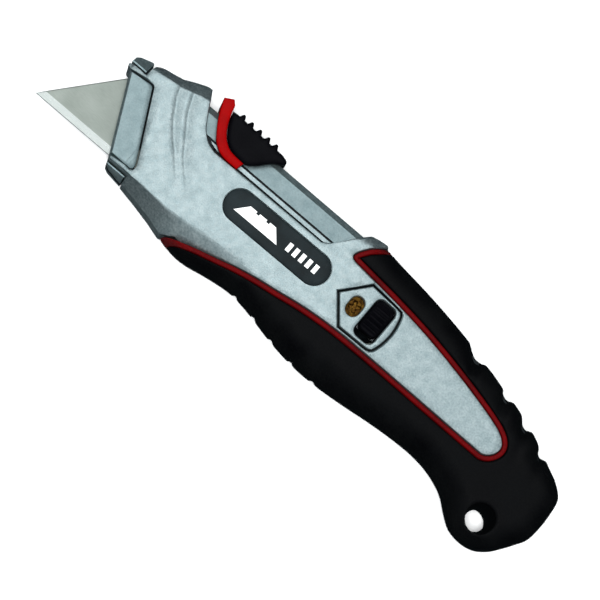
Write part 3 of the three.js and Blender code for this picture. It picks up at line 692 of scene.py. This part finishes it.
# ---------------------------------------------------------------------------------------------
# Badges. A charcoal plate with round ends is glued into a shallow pocket on each cheek. Its white
# print is plain: the shape of the blade that fits, and a row of bars.

badge_plan = stadium(BADGE["x"], BADGE["y"], BADGE["length"], BADGE["height"], BADGE["r"], 12)
blade_mark = np.array([(-28.6, 5.3), (-14.0, 5.3), (-17.0, 8.8), (-19.0, 8.8), (-19.0, 8.2), (-20.0, 8.2),
                       (-20.0, 8.8), (-22.4, 8.8), (-22.4, 8.2), (-23.4, 8.2), (-23.4, 8.8), (-25.6, 8.8)])
bars = [oblong(-11.6 + 2.2 * i, -10.4 + 2.2 * i, 5.8, 8.3) for i in range(5)]


def badge_top(x, y):
    return cheek(x) - 0.04 - edge_drop(distance(badge_plan, x, y, True), 0.35)


charcoal = blank("charcoal_badge", 0.25, 0.25)
badge_grain = noise(charcoal, 0.4, 3)
tinted(charcoal, mixed(charcoal, badge_grain, noise(charcoal, 7), 0.6),
       [(0.35, (14, 20, 22)), (0.65, (29, 38, 41))])
roughened(charcoal, badge_grain, 0.36, 0.5)
embossed(charcoal, badge_grain, 0.03, 0.4)
white_print = blank("white_print", 0, 0.4)
print_grain = noise(white_print, 0.3, 3)
tinted(white_print, print_grain, [(0.3, (222, 226, 226)), (0.7, (250, 251, 250))])
roughened(white_print, print_grain, 0.4, 0.55)
for is_right in (False, True):
    side = "right" if is_right else "left"
    plate = relief(side + "_badge_plate", [badge_plan], badge_top, lambda x, y: cheek(x) - 0.62, (),
                   [ring(badge_plan, d) for d in (0.1, 0.35)], grid=1.2, is_right=is_right)
    fit(plate, charcoal, "badge_plate", "body", side + "_badge")
    marks = relief(side + "_badge_print", [blade_mark, *bars], lambda x, y: cheek(x) + 0.03,
                   lambda x, y: cheek(x) - 0.08, (), (), grid=0.9, is_right=is_right)
    fit(marks, white_print, "badge_plate", "body")

# ---------------------------------------------------------------------------------------------
# Lock. A five-sided silver plate let into the left cheek has a window over the screw and a slot
# for the black button, whose steel bar holds the carriage. The button slides towards the belly.

lock_plan = moved(lock_plate_edge, 0.05, closed=True)
screw_window = stadium(*SCREW, 3.9, 5.8, 1.94, 10)
slot_plan = stadium(SLOT["x"], SLOT["y"], SLOT["length"], SLOT["height"], 1.8, 8)
LOCK_TRAVEL = 2
button_plan = stadium(SLOT["x"], SLOT["y"] + LOCK_TRAVEL / 2, 5.8,
                      SLOT["height"] - LOCK_TRAVEL - 0.5, 1.6, 8)
RIB_PITCH = 1.4


def lock_top(x, y):
    z = CHEEK + 0.08 - edge_drop(distance(lock_plan, x, y, True), 0.35)
    z = z - edge_drop(distance(slot_plan, x, y, True), 0.45)
    return z - edge_drop(distance(screw_window, x, y, True), 0.4)


def button_top(x, y):
    wave = 0.5 + 0.5 * np.cos(2 * np.pi * (y - 4.4) / RIB_PITCH)
    along_ribs = np.clip((y - 3.5) / 0.5, 0, 1) * np.clip((11.8 - y) / 0.5, 0, 1)
    held = along_ribs * np.clip((2.55 - np.abs(x - SLOT["x"])) / 0.4, 0, 1)
    return 9.75 + 0.62 * held * wave**0.8 - edge_drop(distance(button_plan, x, y, True), 0.5)


def moulded(name, dark, light, rough):
    """Injection-moulded plastic with a spark-eroded skin."""
    mat = blank(name, 0, 0.07)
    skin = noise(mat, 0.2, 3)
    tinted(mat, mixed(mat, skin, noise(mat, 5), 0.4), [(0.35, dark), (0.65, light)])
    roughened(mat, skin, rough - 0.05, rough + 0.08)
    embossed(mat, skin, 0.03, 0.5)
    return mat


black_plastic = moulded("black_plastic", (2, 2, 4), (7, 7, 10), 0.42)
cover_rings = [ring(lock_plan, 0.15), ring(lock_plan, 0.35), ring(slot_plan, -0.2), ring(slot_plan, -0.45),
               ring(screw_window, -0.2), ring(screw_window, -0.4)]
lock_cover = relief("lock_cover_plate", [lock_plan], lock_top, lambda x, y: np.full(len(x), 9.15),
                    [screw_window, slot_plan], cover_rings, grid=0.9)
fit(lock_cover, silver, "silver_paint", "body", "lock_plate")
button = relief("ribbed_lock_button", [button_plan], button_top, lambda x, y: np.full(len(x), 5.9), (),
                [ring(button_plan, 0.2), ring(button_plan, 0.5)], grid=0.24, sharp=60)
fit(button, black_plastic, "slider_plastic", "lock", "lock_button")


def bare_steel(name, dark, light, rough):
    """Rolled steel, with fine scratches along its length."""
    mat = blank(name, 0.95)
    scratches = noise(mat, 0.12, 3, (14, 1, 1))
    tinted(mat, mixed(mat, scratches, noise(mat, 6), 0.4), [(0.3, dark), (0.7, light)])
    roughened(mat, scratches, rough - 0.05, rough + 0.1)
    embossed(mat, scratches, 0.008, 0.4)
    return mat


def finish_node(node, material):
    """A new finish for a solid that stays as it is."""
    for material_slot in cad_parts[node].material_slots:
        material_slot.material = material


spring_steel = bare_steel("spring_steel", (118, 122, 126), (168, 172, 175), 0.36)
finish_node("lock_bar", spring_steel)

# ---------------------------------------------------------------------------------------------
# Fasteners. One brass-plated screw and its sleeve nut close the body. Two steel dowels line the
# halves up.

HEAD = dict(r=2.95, top=9.1, under=7.5)
screw_plan = stadium(*SCREW, 2 * HEAD["r"], 2 * HEAD["r"], HEAD["r"], 10)
shank_plan = stadium(*SCREW, 3, 3, 1.5, 6)
nut_plan = stadium(*SCREW, 5.2, 5.2, 2.6, 10)


def turned(x, y, degrees):
    """Places measured from the screw's centre, in a frame turned by an angle."""
    c, s = math.cos(math.radians(degrees)), math.sin(math.radians(degrees))
    u, v = x - SCREW[0], y - SCREW[1]
    return np.abs(c * u + s * v), np.abs(c * v - s * u)


def screw_top(x, y):
    u, v = turned(x, y, 25)
    cross = np.maximum(np.clip((0.5 - u) / 0.12, 0, 1) * np.clip((1.75 - v) / 0.3, 0, 1),
                       np.clip((0.5 - v) / 0.12, 0, 1) * np.clip((1.75 - u) / 0.3, 0, 1))
    r = np.hypot(x - SCREW[0], y - SCREW[1])
    ring_cut = 0.12 * np.exp(-((r - 2.15) / 0.16) ** 2)
    return HEAD["top"] - 0.7 * cross - ring_cut - edge_drop(HEAD["r"] - r, 0.4)


def nut_top(x, y):
    u, _ = turned(x, y, 70)
    slot_cut = 0.7 * np.clip((0.5 - u) / 0.1, 0, 1)
    return 9.6 - slot_cut - edge_drop(2.6 - np.hypot(x - SCREW[0], y - SCREW[1]), 0.4)


def screw_floor(x, y):
    return np.where(step_in(shank_plan, x, y), -8, HEAD["under"])


def nut_floor(x, y):
    return np.where(step_in(shank_plan, x, y), 8.15, 4.5)


brass = blank("brass_plating", 0.92)
tarnish = noise(brass, 1.1, 3)
tinted(brass, mixed(brass, tarnish, noise(brass, 0.3, 2), 0.4),
       [(0.36, (48, 28, 8)), (0.5, (92, 62, 20)), (0.66, (150, 112, 42))])
roughened(brass, tarnish, 0.3, 0.5)
embossed(brass, noise(brass, 0.15, 2), 0.02, 0.5)
shank_rings = [ring(shank_plan, 0), ring(shank_plan, 0.06)]
screw = relief("brass_screw", [screw_plan], screw_top, screw_floor, (),
               [ring(screw_plan, 0.15), ring(screw_plan, 0.4), *shank_rings], grid=0.16, sharp=60)
fit(screw, brass, "screw_brass", "body", "main_screw")
nut = relief("brass_sleeve_nut", [nut_plan], nut_top, nut_floor, (),
             [ring(nut_plan, 0.15), ring(nut_plan, 0.4), *shank_rings], grid=0.2, is_right=True, sharp=60)
fit(nut, brass, "screw_brass", "body", "main_nut")
for node in ("front_dowel", "rear_dowel"):
    finish_node(node, spring_steel)

# ---------------------------------------------------------------------------------------------
# Thumb slider. A black saddle with five ribs straddles the rail, and a red piece is clipped to
# its front. A steel pin joins it to the stem of the blade carrier.

SADDLE_HALF = 8.2
RIBS = (-42.4, -39.5, -36.6, -33.7, -30.9)


def saddle_line(x):
    """The ribbed top of the saddle from the side."""
    y = np.interp(x, [-45.6, -44, -28, -26.4], [25.4, 25.55, 25.0, 24.6])
    for place_x in RIBS:
        y = y + 1.2 * np.clip(1.5 - 1.5 * np.abs(x - place_x) / 0.85, 0, 1) ** 0.7
    return y


saddle_x = np.arange(-45.3, -26.6, 0.22)[::-1]
saddle_plan = np.vstack([
    smooth([(-45.5, 25.6), (-44.9, 24), (-43.7, 21.3), (-42, 18.9), (-39.9, 17.4), (-38, 16.8),
            (-34.2, 16.6), (-31.6, 18.2), (-29.7, 20.4), (-28, 22), (-26.3, 23), (-25.9, 23.9),
            (-26.4, 24.55)], 0.5),
    np.column_stack([saddle_x, saddle_line(saddle_x)])])
trim_plan = np.vstack([
    smooth([(-49.6, 26.6), (-48.4, 23.6), (-46.9, 20.7), (-44.9, 17.8), (-43.3, 16), (-41, 14.6),
            (-38.5, 14.1), (-34.9, 14.1)], 0.5),
    smooth([(-34.4, 16.4), (-38, 16.6), (-40.1, 17.2), (-42.2, 18.8), (-43.9, 21.2),
            (-45.1, 23.9), (-46, 26.8)], 0.5),
    [(-47.2, 28)]])


def saddle(obj_name, plan, radius, pockets):
    """A solid through the whole thickness with round edges, and box-shaped pockets cut out of it."""
    def height(x, y):
        return SADDLE_HALF - edge_drop(distance(plan, x, y, True), radius)

    steps = [ring(plan, radius * share) for share in (0.12, 0.4, 1)]
    obj = relief(obj_name, [plan], height, lambda x, y: -height(x, y), (), steps, grid=0.8, sharp=50)
    for x0, x1, y0, y1, z in pockets:
        corners = [(x, y, w) for x in (x0, x1) for y in (y0, y1) for w in (-z, z)]
        quads = [(0, 1, 3, 2), (4, 6, 7, 5), (0, 4, 5, 1), (2, 3, 7, 6), (0, 2, 6, 4), (1, 5, 7, 3)]
        cutter = place("cutter", corners, quads)
        cut = obj.modifiers.new("pocket", "BOOLEAN")
        cut.operation = "DIFFERENCE"
        cut.solver = "EXACT"
        cut.object = cutter
        shape = bpy.data.meshes.new_from_object(obj.evaluated_get(bpy.context.evaluated_depsgraph_get()))
        obj.modifiers.clear()
        obj.data = shape
        bpy.data.objects.remove(cutter)
    return obj


red_plastic = moulded("red_plastic", (110, 1, 2), (142, 2, 3), 0.36)
rail_pocket = (-60, 10, 0, RAIL["top"] + 0.3, 6.3)
stem_pocket = (-43.2, -34.8, 20, 24.6, 1.6)
slider = saddle("ribbed_thumb_slider", saddle_plan, 0.9, [rail_pocket, stem_pocket])
fit(slider, black_plastic, "slider_plastic", "carriage", "thumb_slider")
trim = saddle("red_slider_front", trim_plan, 0.45, [rail_pocket])
fit(trim, red_plastic, "trim_plastic", "carriage", "slider_trim")
finish_node("slider_pin", spring_steel)

# ---------------------------------------------------------------------------------------------
# Blade and carrier. The trapezoid blade is ground steel with a bright bevel on both sides of its
# edge. It hangs on a moulded carrier, held at each stop by a bent steel leaf.

BLADE = dict(x=-88.4, y=-3.8, length=61, width=19, slant=15.8, half=0.3, bevel=2.1, edge=0.04,
             shade_line=0.16, end_bevel=0.22)
BLADE_END_SLOPE = math.cos(math.atan(BLADE["slant"] / BLADE["width"]))


def blade_plan():
    left, right = BLADE["x"], BLADE["x"] + BLADE["length"]
    top = BLADE["y"] + BLADE["width"]
    back = [(right - BLADE["slant"], top)]
    for offset in (4.8, -4.8):
        middle = (left + right) / 2 + offset
        back += [(middle + 1.2, top), (middle + 1.2, top - 2.6),
                 (middle - 1.2, top - 2.6), (middle - 1.2, top)]
    return np.vstack([straight([(left, BLADE["y"]), (right, BLADE["y"])], 1.5), back,
                      [(left + BLADE["slant"], top)]])


def blade_half(x, y):
    up = (y - BLADE["y"]) / BLADE["bevel"]
    z = BLADE["edge"] + (BLADE["half"] - BLADE["edge"]) * np.clip(up, 0, 1)
    from_end = (x - BLADE["x"] - BLADE["slant"] / BLADE["width"] * (y - BLADE["y"])) * BLADE_END_SLOPE
    return np.maximum(z - 0.9 * np.clip(BLADE["end_bevel"] - from_end, 0, BLADE["end_bevel"]), 0.03)


def blade_finish_and_edge_shade(x, y, z):
    """0 for the flat, 1 for the bevel and 2 for the painted shade line along the cutting edge."""
    return (y < BLADE["y"] + BLADE["bevel"]) * 1 + (y < BLADE["y"] + BLADE["shade_line"])


blade_steel = bare_steel("ground_blade_steel", (144, 153, 146), (184, 192, 185), 0.4)
bright_steel = bare_steel("bright_bevel", (208, 216, 213), (236, 242, 239), 0.3)
# Painted shade: a thin, darker steel strip along the cutting edge draws the dark line that the edge's
# shading gives.
edge_shade_steel = bare_steel("painted_cutting_edge_shade", (92, 98, 100), (140, 147, 148), 0.5)
bevel_line = [(BLADE["x"] - 1, BLADE["y"] + BLADE["bevel"]), (-26, BLADE["y"] + BLADE["bevel"])]
edge_line = [(BLADE["x"] - 1, BLADE["y"] + BLADE["shade_line"]), (-26, BLADE["y"] + BLADE["shade_line"])]
end_line = moved([(BLADE["x"] + BLADE["slant"], BLADE["y"] + BLADE["width"]), (BLADE["x"], BLADE["y"])],
                 BLADE["end_bevel"])
outline = blade_plan()
cutting_blade = relief("cutting_blade", [outline], blade_half, lambda x, y: -blade_half(x, y), (),
                       [bevel_line, edge_line, end_line],
                       grid=1.6, sharp=4)
cutting_blade.data.materials.append(blade_steel)
fit(cutting_blade, bright_steel, "blade_steel", "carriage", "blade")
repaint(cutting_blade, edge_shade_steel, blade_finish_and_edge_shade)
finish_node("blade_carrier", black_plastic)
finish_node("detent_spring", spring_steel)

# ---------------------------------------------------------------------------------------------
# Magazine. Five spare blades lie in a moulded tray inside the handle, under a flat steel spring.

finish_node("magazine_tray", black_plastic)
finish_node("magazine_spring", spring_steel)
for i in range(5):
    finish_node(f"spare_blade_{i + 1}", blade_steel)

# ---------------------------------------------------------------------------------------------
# Floor, light and camera: a pale table under large soft lamps, seen from above and a little from
# the belly side, with the blade at the upper left.

ground = bpy.data.meshes.new("floor")
ground.from_pydata([(-3, -3, 0), (3, -3, 0), (3, 3, 0), (-3, 3, 0)], [], [(0, 1, 2, 3)])
floor = bpy.data.objects.new("floor", ground)
bpy.context.scene.collection.objects.link(floor)
table = blank("pale_table", 0, 0.1)
tinted(table, noise(table, 40, 2), [(0.3, (244, 245, 245)), (0.7, (247, 248, 248))])
roughened(table, noise(table, 40, 2), 0.85, 0.95)
ground.materials.append(table)
floor.visible_glossy = False

roll = math.radians(40.5)
lean = math.radians(10)
VIEW_DISTANCE = 850 * MM
right_way = Vector((math.cos(roll), math.sin(roll) * math.cos(lean), math.sin(roll) * math.sin(lean)))
up_way = Vector((-math.sin(roll), math.cos(roll) * math.cos(lean), math.cos(roll) * math.sin(lean)))
back_way = Vector((0, -math.sin(lean), math.cos(lean)))
camera = bpy.data.objects.new("camera", bpy.data.cameras.new("camera"))
camera.matrix_world = Matrix((right_way, up_way, back_way)).transposed().to_4x4()
camera.matrix_world.translation = ORIGIN + back_way * VIEW_DISTANCE
FRAME_WIDTH = 158 * MM
camera.data.sensor_width = 36
camera.data.lens = camera.data.sensor_width * VIEW_DISTANCE / FRAME_WIDTH
bpy.context.scene.collection.objects.link(camera)
bpy.context.scene.camera = camera


def lamp(name, offset, size, watts, is_reflected=True):
    """A square soft lamp that points at the knife."""
    data = bpy.data.lights.new(name, "AREA")
    data.size = size
    data.energy = watts
    obj = bpy.data.objects.new(name, data)
    obj.location = ORIGIN + Vector(offset)
    obj.rotation_euler = Vector(offset).to_track_quat("Z", "Y").to_euler()
    obj.visible_glossy = is_reflected
    bpy.context.scene.collection.objects.link(obj)


lamp("overhead_softbox", (-0.2, 0.22, 1.2), 0.5, 1.5)
lamp("table_light", back_way * 1.6, 0.5, 40, False)
world = bpy.data.worlds.new("studio")
world.use_nodes = True
nodes, links = world.node_tree.nodes, world.node_tree.links
direction = nodes.new("ShaderNodeTexCoord")
height = nodes.new("ShaderNodeSeparateXYZ")
sky = nodes.new("ShaderNodeValToRGB")
sky.color_ramp.elements[0].position = 0.3
sky.color_ramp.elements[0].color = (0.02, 0.028, 0.032, 1)
sky.color_ramp.elements[1].position = 0.85
sky.color_ramp.elements[1].color = (0.5, 0.53, 0.54, 1)
links.new(direction.outputs["Generated"], height.inputs["Vector"])
links.new(height.outputs["Z"], sky.inputs["Fac"])
links.new(sky.outputs["Color"], nodes["Background"].inputs["Color"])
bpy.context.scene.world = world
bpy.context.scene.view_settings.view_transform = "Standard"
